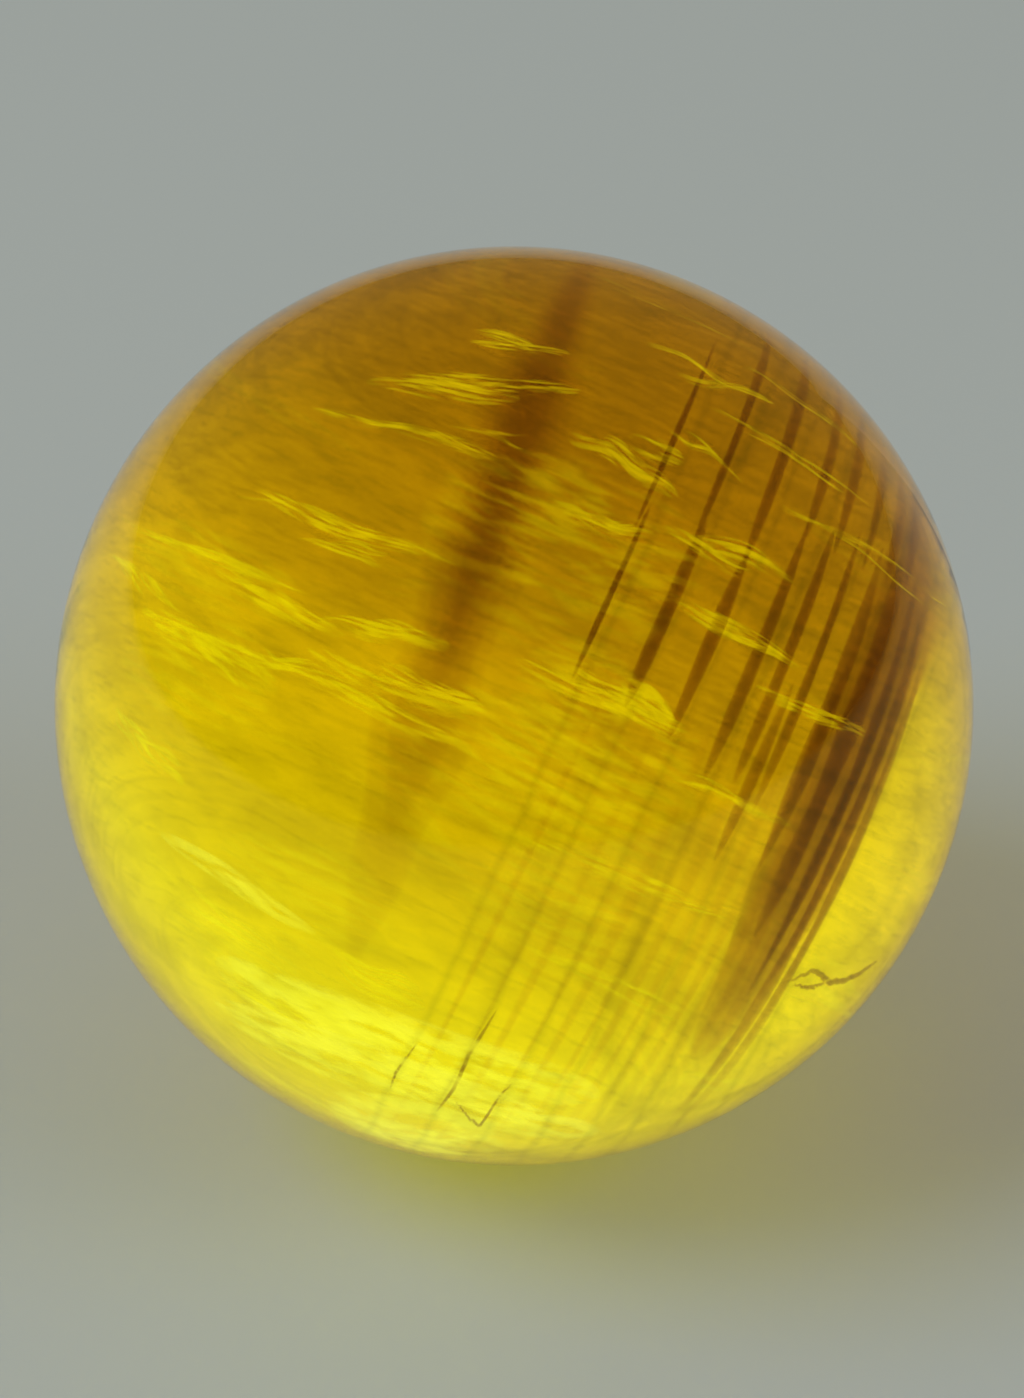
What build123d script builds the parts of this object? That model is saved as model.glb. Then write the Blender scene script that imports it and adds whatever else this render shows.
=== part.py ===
from build123d import *
import os

# A polished sphere of honey-yellow banded fluorite, ground and lapped from one piece of crystal.
#
# The frame is the sphere's own. Its origin is the centre, +Z is up as the sphere is shown, and the
# unit is the millimetre. Every growth band, cleavage veil and healed crack lies inside the crystal
# and belongs to it, so the whole object is one solid with no core, cut or joint. It is round on
# every side, with no flat ground on it, and is held from below by the rim of a ring or a recess.

# Driving dimensions, in millimetres.
DIAMETER = 60.0

PARTS_FOLDER = "parts"


def fluorite_sphere(diameter):
    """The whole stone: a true sphere about the origin."""
    return Sphere(radius=diameter / 2)


def write_node(name, solid):
    """Writes one solid to its own STEP file, which takes the node's name."""
    export_step(solid, os.path.join(PARTS_FOLDER, name + ".step"))


os.makedirs(PARTS_FOLDER, exist_ok=True)
write_node("fluorite_sphere", fluorite_sphere(DIAMETER))
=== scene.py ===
import math
import bpy
import numpy as np
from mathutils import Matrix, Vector


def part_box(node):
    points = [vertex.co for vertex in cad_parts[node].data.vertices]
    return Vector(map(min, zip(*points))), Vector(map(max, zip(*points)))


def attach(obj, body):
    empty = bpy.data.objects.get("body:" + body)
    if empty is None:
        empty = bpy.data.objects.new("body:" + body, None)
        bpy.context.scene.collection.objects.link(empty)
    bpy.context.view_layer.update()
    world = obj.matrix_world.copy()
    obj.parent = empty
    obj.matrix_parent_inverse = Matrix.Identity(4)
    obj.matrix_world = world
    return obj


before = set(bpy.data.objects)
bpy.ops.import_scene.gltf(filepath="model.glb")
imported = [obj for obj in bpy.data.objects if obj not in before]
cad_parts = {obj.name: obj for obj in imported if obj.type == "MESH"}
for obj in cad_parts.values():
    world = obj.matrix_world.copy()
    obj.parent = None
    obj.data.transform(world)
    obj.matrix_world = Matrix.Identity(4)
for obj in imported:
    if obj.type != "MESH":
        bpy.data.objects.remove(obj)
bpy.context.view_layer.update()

# %% [markdown]
# This lesson finishes one object: a polished sphere of honey-yellow fluorite. The real one is a single
# crystal, so its outside is as plain as a shape can be, and what is worth looking at is inside it:
# colour that deepens from layer to layer, dark growth bands, and bright cleavage veils. Here the
# deeper amber above is partly the crystal's colour and partly painted shade, and the glow of the veils
# and of the foot is painted light. Both stand in for a lamp that lit the stone from below. All of
# that could be painted on the outside, but paint stays flat when the sphere turns. So the stone is made as
# clear stone that soaks up light, and each thing in it gets a thin closed body of its own, in the
# place where it lies. The outside then carries only a lighter tint of the same pattern.

# %% The sphere's own measures
STONE = "fluorite_sphere"
SLOT = "honey_fluorite"
low, high = (Vector(corner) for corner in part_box(STONE))
RADIUS = (high.z - low.z) / 2
CENTRE = (low + high) / 2
print("radius", round(RADIUS * 1000, 2), "mm, centre", tuple(round(value, 5) for value in CENTRE))

# %% [markdown]
# Fluorite grows as cubes, so its insides follow three square axes. The growth bands lie square to the
# first axis and the cleavage veils square to the second, while the third points out to the viewer.
# Everything inside could be placed in plain x, y and z, but the bands would then need slanted sums
# everywhere. So places are written on the crystal's own axes, `across`, `along` and `out`, in sphere
# radii, and one helper turns them into points of the frame.

# %% Crystal axes
VIEW_HEIGHT = math.radians(33)
LEAN = math.radians(24.8)
view_right = np.array([1.0, 0.0, 0.0])
view_up = np.array([0.0, math.sin(VIEW_HEIGHT), math.cos(VIEW_HEIGHT)])
OUT = np.array([0.0, -math.cos(VIEW_HEIGHT), math.sin(VIEW_HEIGHT)])
ACROSS = math.cos(LEAN) * view_right - math.sin(LEAN) * view_up
ALONG = math.sin(LEAN) * view_right + math.cos(LEAN) * view_up
CRYSTAL = np.stack([ACROSS, ALONG, OUT])


def in_frame(places):
    """Crystal places in radii, as points in metres: place times the three axes, times radius, plus centre."""
    return places @ CRYSTAL * RADIUS + np.array(CENTRE)


print("crystal axes", CRYSTAL.round(3).tolist())

# %% [markdown]
# The camera looks down at the sphere from a little above, as a person at a desk would. A wide lens
# close by would swell the middle of the sphere, so it stands nine radii off with a long lens. The
# focal length follows from how much of the picture's height the sphere should fill.

# %% Camera
CAMERA_DISTANCE = 9 * RADIUS
SHARE_OF_PICTURE = 0.658
SENSOR = 36.0
lens = bpy.data.cameras.new("camera")
camera = bpy.data.objects.new("camera", lens)
bpy.context.scene.collection.objects.link(camera)
camera.location = CENTRE + Vector(OUT) * CAMERA_DISTANCE
camera.rotation_euler = (math.pi / 2 - VIEW_HEIGHT, 0, 0)
half_angle = math.asin(RADIUS / CAMERA_DISTANCE)
lens.sensor_fit = "VERTICAL"
lens.sensor_height = SENSOR
lens.lens = SENSOR * SHARE_OF_PICTURE / 2 / math.tan(half_angle)
lens.shift_x = -0.0015
lens.shift_y = 0.005
lens.clip_start = 0.01
lens.clip_end = 10
bpy.context.scene.camera = camera
print("lens", round(lens.lens, 1), "mm")


# %% [markdown]
# Every finish below is a small tree of shader nodes. They could be placed by hand in the node editor, but
# a script says the same thing each time. Four helpers keep the cells short: one makes an empty material,
# one adds a node and joins its inputs, one adds a sum, and one turns depth of stone into colour.

# %% Helpers for materials
def fresh_material(name):
    """A material with nothing in it but its output."""
    material = bpy.data.materials.new(name)
    material.use_nodes = True
    material.node_tree.nodes.clear()
    return material, material.node_tree, material.node_tree.nodes.new("ShaderNodeOutputMaterial")


def add(tree, kind, **values):
    """One shader node. An input is named, or is the letter i and its place in the node's list. It is given
    a number or colour, or another node's output to join to it."""
    node = tree.nodes.new("ShaderNode" + kind)
    for name, value in values.items():
        counted = name[0] == "i" and name[1:].isdigit()
        key = int(name[1:]) if counted else name.replace("_", " ")
        if isinstance(value, bpy.types.NodeSocket):
            tree.links.new(value, node.inputs[key])
        else:
            node.inputs[key].default_value = value
    return node


def maths(tree, operation, first, second=0.0, third=0.0):
    """One Math node, such as first times second."""
    node = add(tree, "Math", i0=first, i1=second, i2=third)
    node.operation = operation
    return node.outputs[0]


def soak(tree, red, green, blue):
    """Colour from depth: how much of each colour one radius of stone takes off, as a natural logarithm."""
    strongest = max(red, green, blue)
    colour = tuple(1 - part / strongest for part in (red, green, blue)) + (1,)
    return add(tree, "VolumeAbsorption", Color=colour, Density=strongest / RADIUS)


# %% [markdown]
# A clear stone shows its surroundings turned upside down, so the room matters more than the lamps.
# The real sphere is lit through from all round. Strong lamps could do that, but they would bleach the
# floor. So the world and the floor look white to light that has come through the stone, dim to light
# that the polish mirrors, and plain and pale to everything else. Light Path tells them apart.

# %% Room and lamps
ROOM_LIGHT = 0.30
ROOM_IN_THE_POLISH = 0.08
SEEN_THROUGH_STONE = 1.0
world = bpy.data.worlds.new("studio")
bpy.context.scene.world = world
world.use_nodes = True
tree = world.node_tree
path = add(tree, "LightPath")
plain = add(tree, "Background", Color=(1, 1, 1, 1), Strength=ROOM_LIGHT)
polish = add(tree, "Background", Color=(1, 1, 1, 1), Strength=ROOM_IN_THE_POLISH)
white = add(tree, "Background", Color=(1, 1, 1, 1), Strength=SEEN_THROUGH_STONE)
seen = add(tree, "MixShader", i0=path.outputs["Is Glossy Ray"], i1=plain.outputs[0], i2=polish.outputs[0])
lit = add(tree, "MixShader", i0=path.outputs["Is Transmission Ray"], i1=seen.outputs[0], i2=white.outputs[0])
tree.links.new(lit.outputs[0], tree.nodes["World Output"].inputs["Surface"])
print("room", ROOM_LIGHT, "and", SEEN_THROUGH_STONE, "through the stone")


def lamp(name, power, place, size=0.9):
    """A soft round lamp at a place in metres, turned to the sphere. Its disc doesn't show in the polish or
    through the stone."""
    data = bpy.data.lights.new(name, "AREA")
    data.shape = "DISK"
    data.size = size
    data.energy = power
    stand = bpy.data.objects.new(name, data)
    bpy.context.scene.collection.objects.link(stand)
    stand.location = place
    stand.rotation_euler = (CENTRE - Vector(place)).to_track_quat("-Z", "Y").to_euler()
    stand.visible_glossy = False
    stand.visible_transmission = False
    print(name, power, "W")


lamp("key", 10.0, (-0.9, -0.3, 1.1))
lamp("fill", 5.0, (1.1, -0.5, 0.8))

# %% [markdown]
# The floor is one pale flat face, level with the lowest point of the sphere. It is plain paint, so it
# keeps the yellow shadow of the stone.

# %% Floor
FLOOR_HALF = 4.0
FLOOR_PAINT = (0.46, 0.50, 0.47, 1)
floor_finish, tree, output = fresh_material("floor")
path = add(tree, "LightPath")
paint = add(tree, "BsdfDiffuse", Color=FLOOR_PAINT)
white = add(tree, "Emission", Strength=SEEN_THROUGH_STONE)
through_stone = path.outputs["Is Transmission Ray"]
mix = add(tree, "MixShader", i0=through_stone, i1=paint.outputs[0], i2=white.outputs[0])
tree.links.new(mix.outputs[0], output.inputs["Surface"])
mesh = bpy.data.meshes.new("floor")
corners = np.array([(-1, -1), (1, -1), (1, 1), (-1, 1)]) * FLOOR_HALF
mesh.from_pydata([(x, y, low.z) for x, y in corners], [], [(0, 1, 2, 3)])
mesh.materials.append(floor_finish)
floor = bpy.data.objects.new("floor", mesh)
bpy.context.scene.collection.objects.link(floor)
print("floor at", round(low.z, 4), "m")

# %% [markdown]
# The polished skin is plain stone with fluorite's low index of 1.434 and no roughness. A body inside
# can't be seen under every light, so the skin also carries a tint with the same story: amber above and
# bright yellow at the foot, partly the crystal's colour zoning and partly painted shade and painted
# light of a stone lit from below, faint traces of the bands, and fine fibres that run square to them
# and grow paler towards the foot. The tint is worked out from places on the crystal axes, so it
# doesn't slide. Rays from the lamps pass straight in, or the inside would stay dark.


# %% Crystal places for a material
def crystal_place(tree):
    """Three numbers at any point of the stone: its across, along and out in radii, by three dot products."""
    here = add(tree, "TexCoord").outputs["Object"]
    from_centre = add(tree, "VectorMath", i0=here, i1=tuple(CENTRE))
    from_centre.operation = "SUBTRACT"
    numbers = []
    for axis in CRYSTAL:
        dot = add(tree, "VectorMath", i0=from_centre.outputs[0], i1=tuple(axis / RADIUS))
        dot.operation = "DOT_PRODUCT"
        numbers.append(dot.outputs["Value"])
    return numbers


def grain(tree, place, stretch, detail=3.0):
    """Noise from 0 to 1 whose grains are one over `stretch` radii long on each crystal axis."""
    parts = [maths(tree, "MULTIPLY", number, times) for number, times in zip(place, stretch)]
    spot = add(tree, "CombineXYZ", X=parts[0], Y=parts[1], Z=parts[2])
    return add(tree, "TexNoise", Vector=spot.outputs[0], Scale=1.0, Detail=detail).outputs[0]


def ramp(tree, value, stops):
    """Colours along a line: each stop is a place from 0 to 1 and a colour or a grey."""
    node = add(tree, "ValToRGB", Fac=value)
    line = node.color_ramp.elements
    while len(line) < len(stops):
        line.new(0.5)
    for element, (place, colour) in zip(line, stops):
        element.position = place
        element.color = (colour,) * 3 + (1,) if isinstance(colour, float) else tuple(colour) + (1,)
    return node.outputs[0]


def times(tree, first, second):
    """Two colours multiplied."""
    node = tree.nodes.new("ShaderNodeMix")
    node.data_type = "RGBA"
    node.blend_type = "MULTIPLY"
    node.inputs[0].default_value = 1.0
    tree.links.new(first, node.inputs[6])
    tree.links.new(second, node.inputs[7])
    return node.outputs[2]


# %% The polished stone
IOR = 1.434
FOOT_YELLOW_AND_PAINTED_LIGHT = (1.0, 1.0, 0.10)
HONEY = (1.0, 0.84, 0.01)
AMBER_AND_PAINTED_SHADE = (0.60, 0.39, 0.0)
MIRROR_TINT = (1.0, 0.92, 0.25, 1)
OWN_SOAK = (0.03, 0.08, 3.0)
TRACES = (0.10, 0.21, 0.32, 0.42, 0.51, 0.59, 0.68, 0.75)  # across, in radii, where bands meet the skin
TRACE_HALF = 0.014
TRACE_DEPTH = 0.74
TRACE_WANDER = 0.05
stone_finish, tree, output = fresh_material(SLOT)
place = crystal_place(tree)
from_foot = add(tree, "MapRange", Value=place[1], From_Min=-1.0, From_Max=1.0).outputs[0]
# Amber above, bright yellow at the foot: partly the crystal's colour zoning, partly painted shade and painted
# light of a stone lit from below.
honey = ramp(tree, from_foot, [(0.0, FOOT_YELLOW_AND_PAINTED_LIGHT), (0.25, FOOT_YELLOW_AND_PAINTED_LIGHT), (0.5, HONEY), (0.76, AMBER_AND_PAINTED_SHADE)])
wander = grain(tree, place, (2.0, 3.0, 3.0))
wavy = maths(tree, "MULTIPLY_ADD", wander, TRACE_WANDER, maths(tree, "ADD", place[0], -TRACE_WANDER / 2))
stops = [(0.0, 1.0)]
for trace in TRACES:
    stops += [(trace - TRACE_HALF, 1.0), (trace, TRACE_DEPTH), (trace + TRACE_HALF, 1.0)]
bands = ramp(tree, wavy, stops)
streaks = grain(tree, place, (9.0, 62.0, 12.0), 3.0)
# The fibres also grow paler towards the foot, the same mix of colour zoning and painted light from below.
paler = maths(tree, "MULTIPLY_ADD", from_foot, -0.22, 0.20)
fibres = ramp(tree, maths(tree, "ADD", streaks, paler), [(0.42, 0.80), (0.60, 1.0)])
clouds = ramp(tree, grain(tree, place, (5.0, 13.0, 8.0), 4.0), [(0.40, 0.80), (0.56, 1.0)])
tint = times(tree, times(tree, honey, bands), times(tree, fibres, clouds))
skin = add(tree, "BsdfPrincipled", Base_Color=tint, Roughness=0.0, IOR=IOR, Transmission_Weight=1.0,
           Specular_Tint=MIRROR_TINT)
to_lamps = add(tree, "BsdfTransparent")
path = add(tree, "LightPath")
mix = add(tree, "MixShader", i0=path.outputs["Is Shadow Ray"], i1=skin.outputs[0], i2=to_lamps.outputs[0])
tree.links.new(mix.outputs[0], output.inputs["Surface"])
tree.links.new(soak(tree, *OWN_SOAK).outputs[0], output.inputs["Volume"])
stone = bpy.data.objects[STONE]
for slot in stone.material_slots:
    slot.material = stone_finish
print("stone", len(stone.data.polygons), "faces")

# %% [markdown]
# Everything inside is a closed body, so that stone which soaks up more light has a clear start and end.
# One helper puts such a body into the scene: it measures the enclosed volume, which is positive only
# when the faces point outwards, and turns them round when it isn't.

# %% Putting a body into the stone
SKIN = 0.980  # how near the surface the bodies come, in radii
MILLILITRES = 1e6  # in a cubic metre


def put(name, places, faces, finish, fade=None):
    """One closed body from crystal places. Its volume is a sixth of the sum, over its triangles, of the
    first corner dot (second corner cross third corner)."""
    points = in_frame(places)
    mesh = bpy.data.meshes.new(name)
    mesh.from_pydata(points.tolist(), [], faces)
    mesh.calc_loop_triangles()
    corners = np.empty(len(mesh.loop_triangles) * 3, int)
    mesh.loop_triangles.foreach_get("vertices", corners)
    first, second, third = np.moveaxis(points[corners].reshape(-1, 3, 3), 1, 0)
    volume = np.einsum("ij,ij->i", first, np.cross(second, third)).sum() / 6
    if volume < 0:
        mesh.flip_normals()
    mesh.polygons.foreach_set("use_smooth", np.ones(len(mesh.polygons), bool))
    if fade is not None:
        mesh.attributes.new("fade", "FLOAT", "POINT").data.foreach_set("value", fade.astype(np.float32))
    mesh.materials.append(finish)
    piece = bpy.data.objects.new(name, mesh)
    bpy.context.scene.collection.objects.link(piece)
    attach(piece, "root")
    print(name, len(first), "triangles,", round(abs(float(volume)) * MILLILITRES, 3), "ml")
    return piece


def tinted_stone(name, red, green, blue):
    """Stone that soaks up more than its surroundings, with no skin of its own."""
    finish, tree, output = fresh_material(name)
    tree.links.new(add(tree, "BsdfTransparent").outputs[0], output.inputs["Surface"])
    tree.links.new(soak(tree, red, green, blue).outputs[0], output.inputs["Volume"])
    return finish


def closed_rings(copies, rows, loop):
    """Faces of many bodies alike: four-sided between rings, then three-sided to the point at each end."""
    ring = np.arange(loop)
    after = (ring + 1) % loop
    base = np.arange(rows - 1)[:, None] * loop
    last = (rows - 1) * loop
    sides = np.stack([base + ring, base + after, base + loop + after, base + loop + ring], -1).reshape(-1, 4)
    start_fan = np.stack([np.full(loop, rows * loop), after, ring], -1)
    stop_fan = np.stack([np.full(loop, rows * loop + 1), last + ring, last + after], -1)
    fans = np.concatenate([start_fan, stop_fan])
    first_point = np.arange(copies)[:, None, None] * (rows * loop + 2)
    return (sides + first_point).reshape(-1, 4).tolist() + (fans + first_point).reshape(-1, 3).tolist()


# %% [markdown]
# The colour comes in zones: the upper part of the crystal is a deeper amber than the foot. That is
# partly growth zoning and partly painted shade, for a stone lit from below, whose light reaches the
# top through more stone. A zone could be a change of colour in one big volume, but a volume that
# changes from place to place is slow and grainy. So each zone is a share of the sphere cut off by
# planes, filled with evenly tinted stone. A plane seen at a slant gives a soft change, since light
# crosses more and more of the zone behind it, and the plane seen edge-on, beside the last growth
# band, gives the sharp one.

# %% Colour zones
CORNER_ROUNDING = 24.0


def zone(name, seed, cuts, colour, skin, rows=96, loop=192):
    """A share of the sphere. From a seed point, the way to the skin in every direction is the root of a
    quadratic, and the way to a cutting plane is its offset over the heading's share of the normal. The
    sum of each way to the power of minus CORNER_ROUNDING, turned back, is nearly the shortest."""
    seed = np.array(seed)
    down = (np.arange(rows)[:, None] + 1) / (rows + 1) * math.pi
    turn = np.arange(loop) / loop * 2 * math.pi
    rings = np.stack([np.sin(down) * np.cos(turn), np.sin(down) * np.sin(turn),
                      np.repeat(np.cos(down), loop, 1)], -1).reshape(-1, 3)
    heading = np.concatenate([rings, [[0, 0, 1.0], [0, 0, -1.0]]])
    toward = heading @ seed
    to_skin = -toward + np.sqrt(toward ** 2 - seed @ seed + skin ** 2)
    total = to_skin ** -CORNER_ROUNDING
    for normal, offset in cuts:
        normal = np.array(normal, float)
        share = np.maximum(heading @ normal, 1e-3)
        total = total + ((offset - normal @ seed) / share) ** -CORNER_ROUNDING
    way = total ** (-1 / CORNER_ROUNDING)
    places = seed + heading * way[:, None]
    return put(name, places, closed_rings(1, rows, loop), tinted_stone(name, *colour))


LAST_BAND = ((1.0, 0.0, -0.29), 0.575)
# The three amber zones below darken the top: partly growth zoning, partly painted shade.
zone("amber_zone_wide", (0.0, 0.3, 0.3), [((0, -1, -0.9), 0.10), LAST_BAND], (0.28, 0.46, 0.5), 0.990)
zone("amber_zone_top", (0.0, 0.75, 0.0), [((0, -1, 0.9), -0.35), LAST_BAND], (0.13, 0.22, 0.3), 0.987)
zone("amber_zone_veil", (0.0, 0.5, 0.0), [((0, -1, 0.05), -0.03), LAST_BAND], (0.05, 0.08, 0.1), 0.984)

# %% [markdown]
# Growth bands, veils and cracks are all sheets: thin, and with a long edge. Each could be a bent plane,
# but soaking up light needs thickness. So all three are one shape, a flat ellipse carried along a
# line: its long half-axis says how deep the sheet reaches into the stone and which way it faces, and
# its short half-axis gives it a little thickness that dies away at both edges.


# %% A flat ellipse carried along a line
def flat_tubes(centre, wide, thin, loop=20):
    """Ring point = centre + wide * cos(turn) + thin * sin(turn), for arrays of (copy, row, axis)."""
    turn = (np.arange(loop) / loop * 2 * math.pi)[:, None]
    rings = centre[:, :, None] + wide[:, :, None] * np.cos(turn) + thin[:, :, None] * np.sin(turn)
    copies, rows = centre.shape[:2]
    ends = centre[:, [0, -1]]
    places = np.concatenate([rings.reshape(copies, rows * loop, 3), ends], axis=1)
    return places.reshape(-1, 3), closed_rings(copies, rows, loop)


def rows_of(count):
    """Rows from -1 to 1 along a sheet, closer near its ends, and how thick each still is there, which is
    the height of a half circle above the row."""
    share = np.sin(((np.arange(count) + 0.5) / count * 2 - 1) * math.pi / 2)
    return share, np.sqrt(1 - share ** 2)


# %% [markdown]
# A growth band is one old face of the crystal, where darker stone settled for a while. It looks sharp
# only where its sheet runs along the line of sight. The round stone bends those lines inwards like
# the ribs of a fan, so every sheet opens by the same share of its offset, FAN. The bands are broken
# where a cleavage fault crosses them, and start again a little to one side: so there is one set above
# the fault, one below it, and a paler set at the foot.

# %% Growth bands
FAN = 0.35
FOCUS = 0.45  # the place out, in radii, at which a band stands at its offset
LEAST_DEPTH = 0.02
WHOLE_TURN = 6.3


def bands(name, sheets, finish, seed, lean=0.0, waves=0.13, rows=60):
    """Sheets square to the across axis, one for each offset, start, stop, thickness and inner. The outer
    edge lies where (offset + slope (out - FOCUS))^2 + along^2 + out^2 = SKIN^2, a quadratic in `out`, and
    the inner edge where out = inner. `lean` times along is added to the offset, and the thickness ripples
    by three waves along the sheet."""
    rng = np.random.default_rng(seed)
    offset, start, stop, thickness, inner = np.array(sheets, float).T[..., None]
    share, taper = rows_of(rows)
    along = (start + stop) / 2 + (stop - start) / 2 * share
    slope = FAN * offset
    at_centre = offset + lean * along - slope * FOCUS
    square = 1 + slope ** 2
    middle_term = at_centre * slope
    rest = at_centre ** 2 + along ** 2 - SKIN ** 2
    outer = (-middle_term + np.sqrt(np.maximum(middle_term ** 2 - square * rest, 0))) / square
    inner = np.minimum(inner, outer - LEAST_DEPTH)
    middle = (outer + inner) / 2
    ripple = 1 + sum(
        waves * np.sin(along * wave + rng.uniform(0, WHOLE_TURN, (len(sheets), 1))) for wave in (4, 9, 21)
    )
    nothing = np.zeros_like(middle)
    centre = np.stack([at_centre + slope * middle, along, middle], -1)
    wide = ((outer - inner) / 2 * taper)[..., None] * np.stack([slope + nothing, nothing, nothing + 1], -1)
    thin = np.stack([thickness / 2 * taper * np.clip(ripple, 0.3, 2), nothing, nothing], -1)
    return put(name, *flat_tubes(centre, wide, thin), finish)


growth_band = tinted_stone("growth_band", 1.25, 1.8, 1.9)
bands("growth_bands_upper", [
    (0.060, 0.38, 0.80, 0.012, 0.10), (0.165, 0.40, 0.92, 0.020, 0.10), (0.262, 0.40, 0.92, 0.022, 0.10),
    (0.355, 0.50, 0.89, 0.022, 0.10), (0.420, 0.50, 0.86, 0.020, 0.10), (0.490, 0.50, 0.82, 0.018, 0.10),
    (0.550, 0.50, 0.78, 0.026, 0.10), (0.600, 0.50, 0.74, 0.020, 0.10),
], growth_band, seed=3)
bands("growth_bands_lower", [
    (0.070, 0.08, 0.42, 0.014, 0.10), (0.172, 0.08, 0.44, 0.026, 0.10), (0.264, 0.06, 0.44, 0.024, 0.10),
    (0.352, 0.02, 0.54, 0.020, 0.10), (0.405, 0.04, 0.54, 0.020, 0.10), (0.435, -0.10, 0.25, 0.014, 0.10),
    (0.460, 0.00, 0.56, 0.018, 0.10), (0.520, -0.08, 0.56, 0.030, 0.10), (0.575, -0.20, 0.56, 0.042, 0.10),
    (0.625, -0.30, 0.54, 0.024, 0.10), (0.660, -0.60, 0.50, 0.028, 0.10), (0.690, -0.68, 0.40, 0.018, 0.10),
], growth_band, seed=5)
pale_band = tinted_stone("pale_growth_band", 0.15, 0.26, 0.3)
FOOT_OFFSETS = (0.13, 0.19, 0.235, 0.29, 0.33, 0.375, 0.41, 0.445, 0.48, 0.515, 0.55, 0.585, 0.62, 0.65)
FOOT_THICKNESSES = [
    0.008 + 0.030 * offset - 0.008 * (number % 2) for number, offset in enumerate(FOOT_OFFSETS)
]
FOOT_STOP = 0.15
bands("growth_bands_foot", [
    (offset, -0.97 * math.sqrt(SKIN ** 2 - offset ** 2 - 0.02), FOOT_STOP, thickness, 0.0)
    for offset, thickness in zip(FOOT_OFFSETS, FOOT_THICKNESSES)
], pale_band, seed=7)

# %% [markdown]
# Beside the last bands the stone itself is brown, and left of the middle stands one wide, soft band like
# a shadow. A sheet's edge is always clean, so the soft band is four sheets of one tint, each wider
# than the last, and their steps add up to a soft slope.

# %% Brown zone and soft band
brown_stone = tinted_stone("brown_zone", 1.05, 1.5, 1.5)
bands("brown_zone", [(0.60, -0.45, 0.72, 0.17, 0.0)], brown_stone, seed=9, waves=0.05)
soft_band = tinted_stone("soft_band", 0.24, 0.35, 0.4)
SOFT_OFFSET = -0.140
SOFT_LEAN = -0.12
SOFT_STEPS = [(0.060, 0.05), (0.090, -0.03), (0.125, -0.30), (0.165, -0.55)]  # thickness, where it starts
for number, (spread, start) in enumerate(SOFT_STEPS):
    sheet = (SOFT_OFFSET, start, 0.94, spread, 0.05)
    bands("soft_band_%d" % (number + 1), [sheet], soft_band, 11, lean=SOFT_LEAN)

# %% [markdown]
# A cleavage veil is a crack along the crystal's second plane that healed again and kept a film of tiny
# platelets. Seen nearly edge-on it is a bright feathery streak. Modelled platelets would take a great
# many faces and clump together. So each veil is one wavy sheet, and its finish lets light by except on
# streaks of a stretched noise, where it has the yellow of the light that platelets scatter. Working that
# light out from the lamps would be slow and grainy, so it is written in, no brighter than a pale
# surface. A value kept with every point, `fade`, is nought at the sheet's edge, so a veil frays out.


# %% Veil film
STREAK_SOFTNESS = 0.20


def film(name, colour, cover, stretch, threshold):
    """Hides a share of what is behind, cover * fade * streaks, with a painted yellow glow, the light that
    platelets would scatter. The streaks are the part of the noise above a threshold, over STREAK_SOFTNESS."""
    finish, tree, output = fresh_material(name)
    finish.cycles.emission_sampling = "NONE"
    noise = grain(tree, crystal_place(tree), stretch, 2.0)
    streaks = ramp(tree, noise, [(threshold, 0.0), (threshold + STREAK_SOFTNESS, 1.0)])
    fade = add(tree, "Attribute")
    fade.attribute_name = "fade"
    share = maths(tree, "MULTIPLY", maths(tree, "MULTIPLY", streaks, fade.outputs["Fac"]), cover)
    through = add(tree, "BsdfTransparent")
    # Painted light: an emission that stands in for the light the platelets scatter.
    light = add(tree, "Emission", Color=colour + (1,), Strength=1.0)
    mix = add(tree, "MixShader", i0=share, i1=through.outputs[0], i2=light.outputs[0])
    tree.links.new(mix.outputs[0], output.inputs["Surface"])
    return finish


VEIL_WAVE = 0.02
VEIL_HALF_THICKNESS = 0.0012
VEIL_SKIN = 0.975


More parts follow.
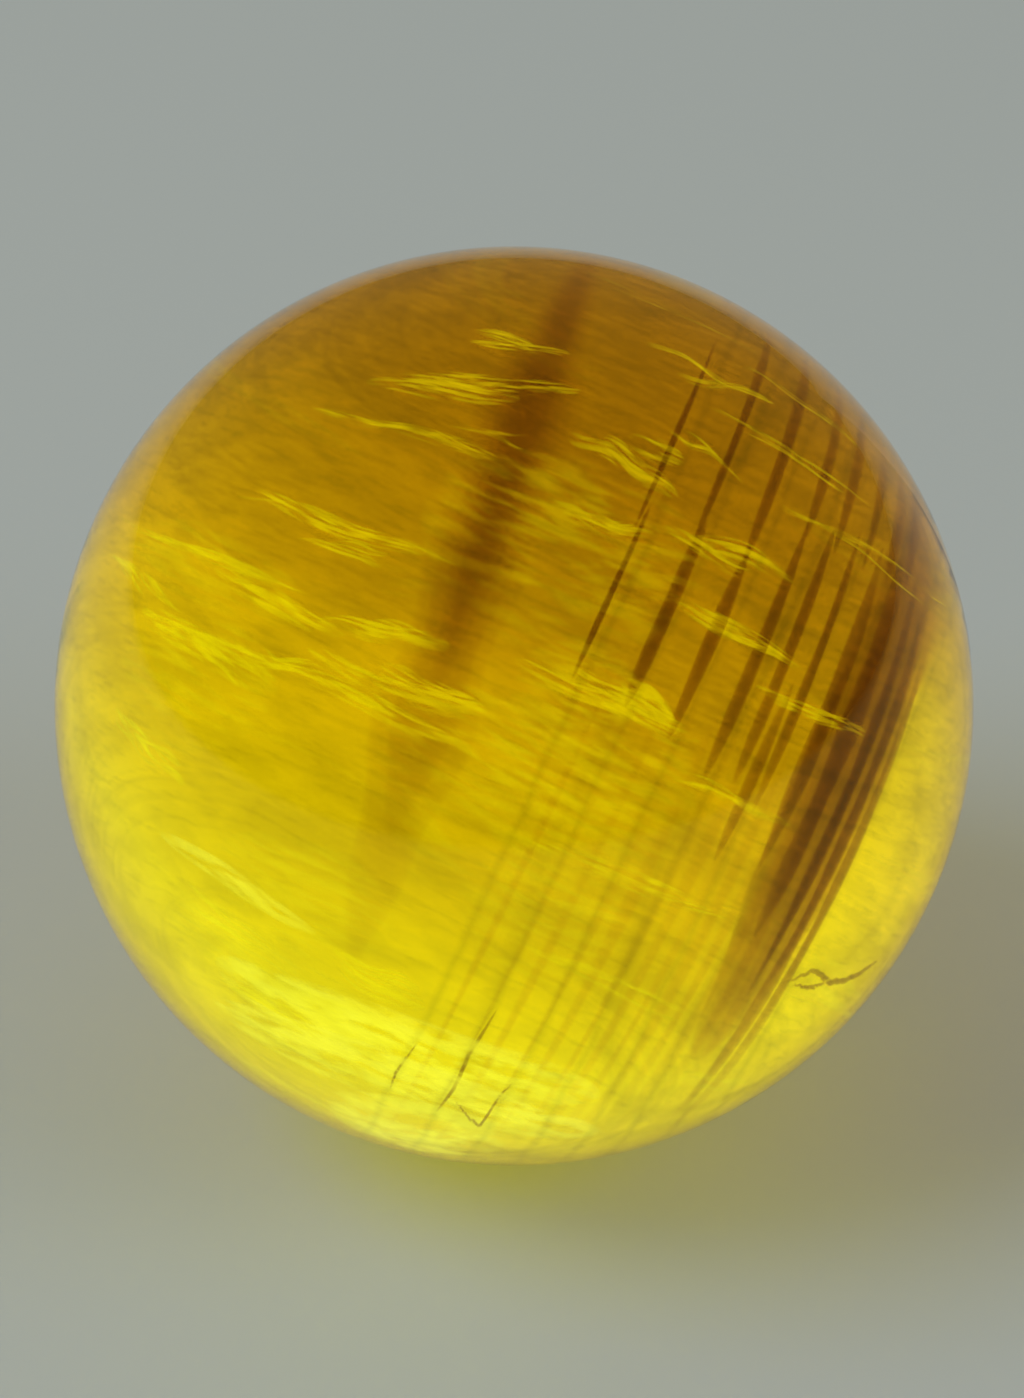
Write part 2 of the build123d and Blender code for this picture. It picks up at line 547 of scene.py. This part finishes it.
def veils(name, lines, finish, seed, strands=2, rows=40, loop=12):
    """Wavy sheets along lines. Each row is where a line starts (across, along) and stops (across, along),
    its out, how deep the sheet reaches each way, and how far it is opened. The long half-axis slopes by
    FAN * along + opened, so a sheet opened by nought is edge-on. Each line gets a few strands, which are
    shorter, set aside by chance and bent by three waves."""
    rng = np.random.default_rng(seed)
    table = np.repeat(np.array(lines, float), strands, axis=0)
    count = len(table)
    from_across, from_along, to_across, to_along, out, deep, opened = table.T[..., None]
    share, taper = rows_of(rows)
    way = (share + 1) / 2
    sizes = rng.uniform(0.5, 1.1, (count, 1))
    starts = rng.uniform(0, 1, (count, 1)) * (1 - np.minimum(sizes, 1))
    way = starts + way * sizes
    across = from_across + (to_across - from_across) * way
    wave = sum(
        rng.uniform(-1, 1, (count, 1)) * VEIL_WAVE / turns
        * np.sin(way * turns * 3 + rng.uniform(0, WHOLE_TURN, (count, 1)))
        for turns in (1, 2, 4)
    )
    aside = rng.normal(0, 0.6, (count, 1)) * opened * deep
    along = from_along + (to_along - from_along) * way + wave + aside
    out = out + rng.uniform(-0.3, 0.3, (count, 1)) * deep + np.zeros_like(way)
    facing = FAN * along + opened * rng.uniform(0.6, 1.4, (count, 1))
    nothing = np.zeros_like(across)
    centre = np.stack([across, along, out], -1)
    wide = (deep * taper)[..., None] * np.stack([nothing, facing, nothing + 1], -1)
    thin = np.stack([nothing, VEIL_HALF_THICKNESS * taper + nothing, nothing], -1)
    room = VEIL_SKIN - np.linalg.norm(centre, axis=-1)
    wide = wide * np.clip(room / np.linalg.norm(wide, axis=-1), 0.0, 1.0)[..., None]
    places, faces = flat_tubes(centre, wide, thin, loop)
    turn = np.abs(np.sin(np.arange(loop) / loop * 2 * math.pi))
    edge = (taper[:, None] * turn).reshape(-1)
    fade = np.tile(np.concatenate([edge, [0, 0]]), count)
    return put(name, places, faces, finish, fade)


# %% Cleavage veils
VEIL_LINES = [
    (-0.93, 0.015, -0.40, 0.022, 0.42, 0.10, 0.08),
    (-0.60, 0.000, -0.30, -0.020, 0.45, 0.14, 0.16),
    (-0.62, 0.145, -0.22, 0.184, 0.45, 0.10, 0.12),
    (-0.52, 0.120, -0.30, 0.140, 0.50, 0.08, 0.10),
    (-0.72, -0.130, -0.42, -0.180, 0.45, 0.12, 0.22),
    (-0.38, -0.010, -0.12, 0.050, 0.50, 0.14, 0.16),
    (-0.50, -0.110, -0.34, -0.090, 0.50, 0.10, 0.16),
    (-0.40, -0.100, -0.06, -0.070, 0.50, 0.10, 0.16),
    (-0.32, -0.050, 0.00, -0.020, 0.50, 0.20, 0.20),
    (-0.04, 0.083, 0.30, 0.096, 0.50, 0.10, 0.16),
    (0.12, 0.095, 0.28, 0.075, 0.50, 0.10, 0.24),
    (-0.42, 0.600, -0.18, 0.640, 0.45, 0.10, 0.14),
    (-0.55, 0.440, -0.12, 0.560, 0.50, 0.14, 0.16),
    (-0.33, 0.430, -0.18, 0.440, 0.55, 0.06, 0.08),
    (-0.25, 0.850, 0.18, 0.836, 0.35, 0.08, 0.10),
    (-0.08, 0.720, 0.22, 0.740, 0.45, 0.12, 0.14),
    (0.26, 0.550, 0.74, 0.550, 0.43, 0.08, 0.06),
    (0.04, 0.580, 0.22, 0.550, 0.50, 0.06, 0.08),
    (0.06, 0.430, 0.40, 0.400, 0.50, 0.12, 0.12),
    (0.16, 0.300, 0.50, 0.280, 0.50, 0.10, 0.12),
    (0.30, 0.200, 0.70, 0.230, 0.45, 0.08, 0.10),
    (-0.70, -0.340, -0.50, -0.380, 0.45, 0.10, 0.12),
    (-0.14, -0.550, 0.10, -0.560, 0.50, 0.12, 0.20),
    (-0.30, -0.720, -0.06, -0.740, 0.45, 0.12, 0.20),
    (0.05, 0.660, 0.50, 0.650, 0.45, 0.08, 0.10),
    (0.10, 0.770, 0.45, 0.750, 0.38, 0.07, 0.12),
    (-0.60, 0.330, -0.20, 0.380, 0.45, 0.10, 0.12),
    (-0.10, 0.360, 0.14, 0.380, 0.50, 0.10, 0.12),
    (-0.12, 0.520, 0.10, 0.500, 0.50, 0.12, 0.16),
    (0.22, 0.010, 0.60, 0.020, 0.45, 0.08, 0.12),
    (0.05, -0.180, 0.50, -0.190, 0.45, 0.10, 0.10),
    (0.15, -0.380, 0.55, -0.400, 0.42, 0.10, 0.10),
    (-0.85, -0.060, -0.60, -0.110, 0.35, 0.08, 0.12),
    (-0.45, -0.560, -0.20, -0.600, 0.45, 0.08, 0.14),
]
VEIL_GLOW_YELLOW = (0.92, 0.86, 0.0)
veil_glow_film = film("veil_glow_film", VEIL_GLOW_YELLOW, 0.75, (13.0, 24.0, 34.0), 0.45)
veils("cleavage_veils", VEIL_LINES, veil_glow_film, seed=21)

# %% [markdown]
# Between the streaks the whole stone is faintly cloudy, and it has veils of the same kind on its far
# side, set there by turning every other line about the along axis. Both are the same sheets again, wider
# and fainter, with the same painted glow. The clouds at the foot are denser and paler: real cloudiness
# whose brightness is painted light of a stone lit from below.

# %% Clouds and far veils
CLOUD_LINES = [
    (-0.30, 0.30, 0.20, 0.33, 0.45, 0.30, 0.45),
    (-0.10, 0.14, 0.30, 0.16, 0.50, 0.25, 0.40),
    (-0.20, 0.00, 0.35, 0.00, 0.45, 0.35, 0.45),
    (-0.05, -0.12, 0.45, -0.14, 0.45, 0.35, 0.45),
    (-0.80, -0.05, -0.35, -0.08, 0.35, 0.20, 0.40),
    (-0.70, -0.25, -0.10, -0.28, 0.45, 0.30, 0.40),
    (-0.20, -0.30, 0.40, -0.32, 0.45, 0.30, 0.40),
    (-0.60, -0.45, 0.00, -0.48, 0.45, 0.30, 0.40),
    (-0.45, -0.60, 0.25, -0.63, 0.40, 0.25, 0.40),
    (-0.40, -0.74, 0.30, -0.76, 0.35, 0.22, 0.40),
    (-0.35, -0.85, 0.30, -0.86, 0.25, 0.18, 0.40),
    (0.66, -0.20, 0.88, -0.22, 0.25, 0.15, 0.30),
    (0.55, -0.50, 0.75, -0.50, 0.25, 0.15, 0.30),
]
cloud_glow_film = film("cloud_glow_film", (0.95, 0.90, 0.02), 0.22, (10.0, 24.0, 30.0), 0.44)
veils("clouds", CLOUD_LINES, cloud_glow_film, seed=31, strands=1)
FOOT_LINES = [
    (-0.50, -0.50, 0.00, -0.54, 0.42, 0.08, 0.30),
    (-0.34, -0.62, 0.22, -0.60, 0.35, 0.10, 0.45),
    (-0.30, -0.70, 0.40, -0.66, 0.30, 0.14, 0.50),
    (-0.28, -0.78, 0.45, -0.72, 0.25, 0.16, 0.50),
    (-0.25, -0.86, 0.35, -0.80, 0.20, 0.14, 0.50),
]
# The foot clouds glow brightest: real cloudiness with painted light of a stone lit from below.
foot_glow_film = film("foot_glow_film", (1.0, 1.0, 0.22), 0.72, (12.0, 20.0, 20.0), 0.38)
veils("foot_clouds", FOOT_LINES, foot_glow_film, seed=35, strands=1)
TO_FAR_SIDE = (-0.92, 1.0, -0.92, 1.0, -1.0, 1.0, -1.0)
far_lines = np.array(VEIL_LINES[::2]) * TO_FAR_SIDE
veils("far_veils", far_lines, cloud_glow_film, seed=33, strands=1)

# %% [markdown]
# Two places have open cracks, which hide the light behind them: one reaches into the clear cap, and a
# fine network sits near the foot. An open crack is a sheet along a jagged line. It is far darker than
# a growth band, and only a little deep, so that it stays a thin line.


# %% Cracks
CRACK_SHAKE = 0.0022


def cracks(name, lines, finish, seed, deep=0.06, rows=60):
    """Sheets along jagged lines of (across, along) corners at a depth `out`: each line is read at even
    steps between its corners, and shaken sideways. The thin half-axis lies square to the line."""
    rng = np.random.default_rng(seed)
    share, taper = rows_of(rows)
    steps = (share + 1) / 2
    corners = [(np.linspace(0, 1, len(line)), np.array(line).T) for line, out, thickness in lines]
    across = np.stack([np.interp(steps, knots, line[0]) for knots, line in corners])
    along = np.stack([np.interp(steps, knots, line[1]) for knots, line in corners])
    along = along + rng.normal(0, CRACK_SHAKE, along.shape)
    out = np.array([out for line, out, thickness in lines])[:, None]
    thickness = np.array([thickness for line, out, thickness in lines])[:, None]
    heading = np.stack([np.gradient(across, axis=1), np.gradient(along, axis=1)])
    heading = heading / np.linalg.norm(heading, axis=0)
    nothing = np.zeros_like(across)
    centre = np.stack([across, along, out + nothing], -1)
    wide = (deep * taper)[None, :, None] * np.stack([FAN * across, FAN * along, nothing + 1], -1)
    thin = (thickness / 2 * taper)[..., None] * np.stack([-heading[1], heading[0], nothing], -1)
    return put(name, *flat_tubes(centre, wide, thin, 10), finish)


open_crack = tinted_stone("open_crack", 7.0, 9.0, 9.0)
cracks("cap_crack", [
    ([(0.655, -0.245), (0.706, -0.208), (0.76, -0.225), (0.81, -0.212), (0.86, -0.180), (0.89, -0.155)],
     0.30, 0.015),
    ([(0.68, -0.250), (0.73, -0.244), (0.765, -0.218)], 0.32, 0.009),
], open_crack, seed=41)
cracks("foot_cracks", [
    ([(0.195, -0.49), (0.188, -0.60), (0.195, -0.685), (0.19, -0.765)], 0.35, 0.009),
    ([(0.095, -0.62), (0.085, -0.70), (0.090, -0.75)], 0.35, 0.006),
    ([(0.205, -0.70), (0.245, -0.735), (0.275, -0.75), (0.272, -0.65), (0.28, -0.615)],
     0.30, 0.006),
], open_crack, seed=43)

# %% [markdown]
# Colours are shown as they are written, so the view transform is Standard. A ray may cross a good many
# clear sheets in this stone, so it is allowed more of them than the usual eight. Nothing here may
# reach outside the sphere.

# %% View and clear sheets
bpy.context.scene.view_settings.view_transform = "Standard"
CLEAR_SHEETS_CROSSED = 256
bpy.context.scene.cycles.transparent_max_bounces = CLEAR_SHEETS_CROSSED
